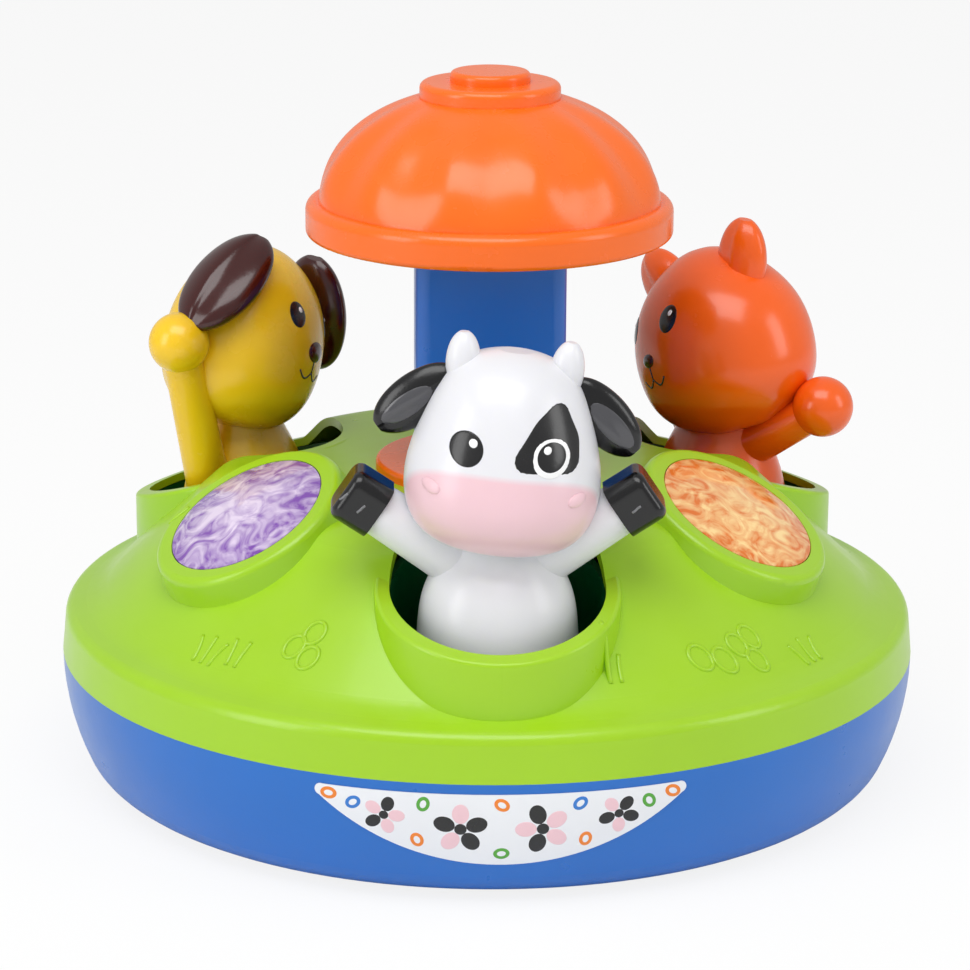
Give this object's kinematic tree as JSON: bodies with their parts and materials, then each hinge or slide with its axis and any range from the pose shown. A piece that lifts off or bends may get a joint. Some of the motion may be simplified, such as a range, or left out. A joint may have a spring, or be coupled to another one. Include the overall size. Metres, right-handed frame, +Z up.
{
  "type": "toy",
  "caption": "Press-and-spin animal sound toy: domed lime lid on a blue bowl, orange push cap on a square post, three figures turning in wells, coloured light buttons",
  "frame": {"origin": "centre of the bounding box on the plane of the rubber feet, under the post's axis", "axes": "+Z up along the push post, -Y toward the front label and the cow's well, +X to the right of someone facing the label"},
  "size_m": [0.24, 0.2403, 0.1974],
  "materials": {
    "blue_plastic": "moulded base blue",
    "deep_blue_plastic": "moulded post blue",
    "black_rubber": "soft rubber",
    "steel_fastener": "zinc plated steel",
    "cell_jacket": "plain battery sleeve",
    "dark_plastic": "dark moulded plastic",
    "board_green": "circuit board lacquer",
    "label_paper": "coated paper sticker",
    "lime_plastic": "moulded lime green",
    "purple_lens": "translucent purple plastic",
    "amber_lens": "translucent amber plastic",
    "green_lens": "translucent green plastic",
    "clear_lamp": "clear lamp bead",
    "white_gear_plastic": "natural acetal",
    "grey_plastic": "grey inner moulding",
    "steel_bar": "drawn steel",
    "orange_plastic": "moulded cap orange",
    "white_plastic": "moulded white",
    "black_plastic": "moulded black",
    "yellow_plastic": "moulded yellow",
    "brown_plastic": "moulded dark brown",
    "tabby_orange_plastic": "moulded orange",
    "dark_green_plastic": "moulded dark green"
  },
  "bodies": {
    "base": {"base_bowl": "blue_plastic", "rubber_feet": "black_rubber", "lid_screws": "steel_fastener", "battery_door": "blue_plastic", "battery_door_screw": "steel_fastener", "battery_cells": "cell_jacket", "battery_contacts": "steel_fastener", "speaker": "dark_plastic", "circuit_board": "board_green", "board_components": "board_green", "board_screws": "steel_fastener", "switch_housing": "blue_plastic", "front_label": "label_paper", "dome_lid": "lime_plastic", "post_collar": "orange_plastic", "lamp_boards": "board_green", "button_domes": "black_rubber", "lamps": "clear_lamp", "gear_deck": "grey_plastic", "gear_cover": "grey_plastic", "gearbox_screws": "steel_fastener", "cow_well": "dark_green_plastic", "dog_well": "dark_green_plastic", "cat_well": "dark_green_plastic", "return_spring": "steel_fastener"},
    "plunger": {"push_cap": "orange_plastic", "cap_underplate": "orange_plastic", "cap_screws": "steel_fastener", "centre_post": "deep_blue_plastic", "bar_screw": "steel_fastener", "twisted_bar": "steel_bar"},
    "nut": {"drive_nut": "white_gear_plastic"},
    "main_gear": {"drive_gear": "white_gear_plastic"},
    "cow": {"cow_torso": "white_plastic", "cow_head": "white_plastic", "cow_ears": "black_plastic", "cow_hooves": "black_plastic", "cow_spindle": "steel_bar", "cow_gear": "white_gear_plastic"},
    "dog": {"dog_torso": "yellow_plastic", "dog_head": "yellow_plastic", "dog_ears": "brown_plastic", "dog_spindle": "steel_bar", "dog_gear": "white_gear_plastic"},
    "cat": {"cat_torso": "tabby_orange_plastic", "cat_head": "tabby_orange_plastic", "cat_ears": "tabby_orange_plastic", "cat_spindle": "steel_bar", "cat_gear": "white_gear_plastic"},
    "purple_button": {"lens_purple": "purple_lens"},
    "amber_button": {"lens_orange": "amber_lens"},
    "rear_button": {"lens_rear": "green_lens"},
    "slider": {"power_slider": "blue_plastic"}
  },
  "joints": [
    {"name": "plunger_press", "type": "slide", "parent": "base", "child": "plunger", "axis": [0, 0, -1], "range_m": [0, 0.014], "stiffness_N_per_m": 200, "springref_m": -0.02, "deforming": ["return_spring"]},
    {"name": "drive_nut_turn", "type": "hinge", "parent": "base", "child": "nut", "pos_m": [0, 0, 0.0486], "axis": [0, 0, 1], "range_deg": [0, 126.1]},
    {"name": "drive_gear_spin", "type": "hinge", "parent": "base", "child": "main_gear", "pos_m": [0, 0, 0.036], "axis": [0, 0, 1], "continuous": true},
    {"name": "cow_spin", "type": "hinge", "parent": "base", "child": "cow", "pos_m": [0, -0.08, 0.036], "axis": [0, 0, 1], "continuous": true},
    {"name": "dog_spin", "type": "hinge", "parent": "base", "child": "dog", "pos_m": [-0.06928, 0.04, 0.036], "axis": [0, 0, 1], "continuous": true},
    {"name": "cat_spin", "type": "hinge", "parent": "base", "child": "cat", "pos_m": [0.06928, 0.04, 0.036], "axis": [0, 0, 1], "continuous": true},
    {"name": "purple_button_press", "type": "slide", "parent": "base", "child": "purple_button", "axis": [0.433, 0.25, -0.866], "range_m": [0, 0.002], "stiffness_N_per_m": 400, "springref_m": -0.001},
    {"name": "amber_button_press", "type": "slide", "parent": "base", "child": "amber_button", "axis": [-0.433, 0.25, -0.866], "range_m": [0, 0.002], "stiffness_N_per_m": 400, "springref_m": -0.001},
    {"name": "rear_button_press", "type": "slide", "parent": "base", "child": "rear_button", "axis": [0, -0.5, -0.866], "range_m": [0, 0.002], "stiffness_N_per_m": 400, "springref_m": -0.001},
    {"name": "power_switch_slide", "type": "slide", "parent": "base", "child": "slider", "axis": [0, 1, 0], "range_m": [0, 0.008]}
  ],
  "couplings": [
    {"joint": "drive_nut_turn", "follows": "plunger_press", "rad_per_m": 157.08},
    {"joint": "cow_spin", "follows": "drive_gear_spin", "ratio": -3},
    {"joint": "dog_spin", "follows": "drive_gear_spin", "ratio": -3},
    {"joint": "cat_spin", "follows": "drive_gear_spin", "ratio": -3}
  ]
}
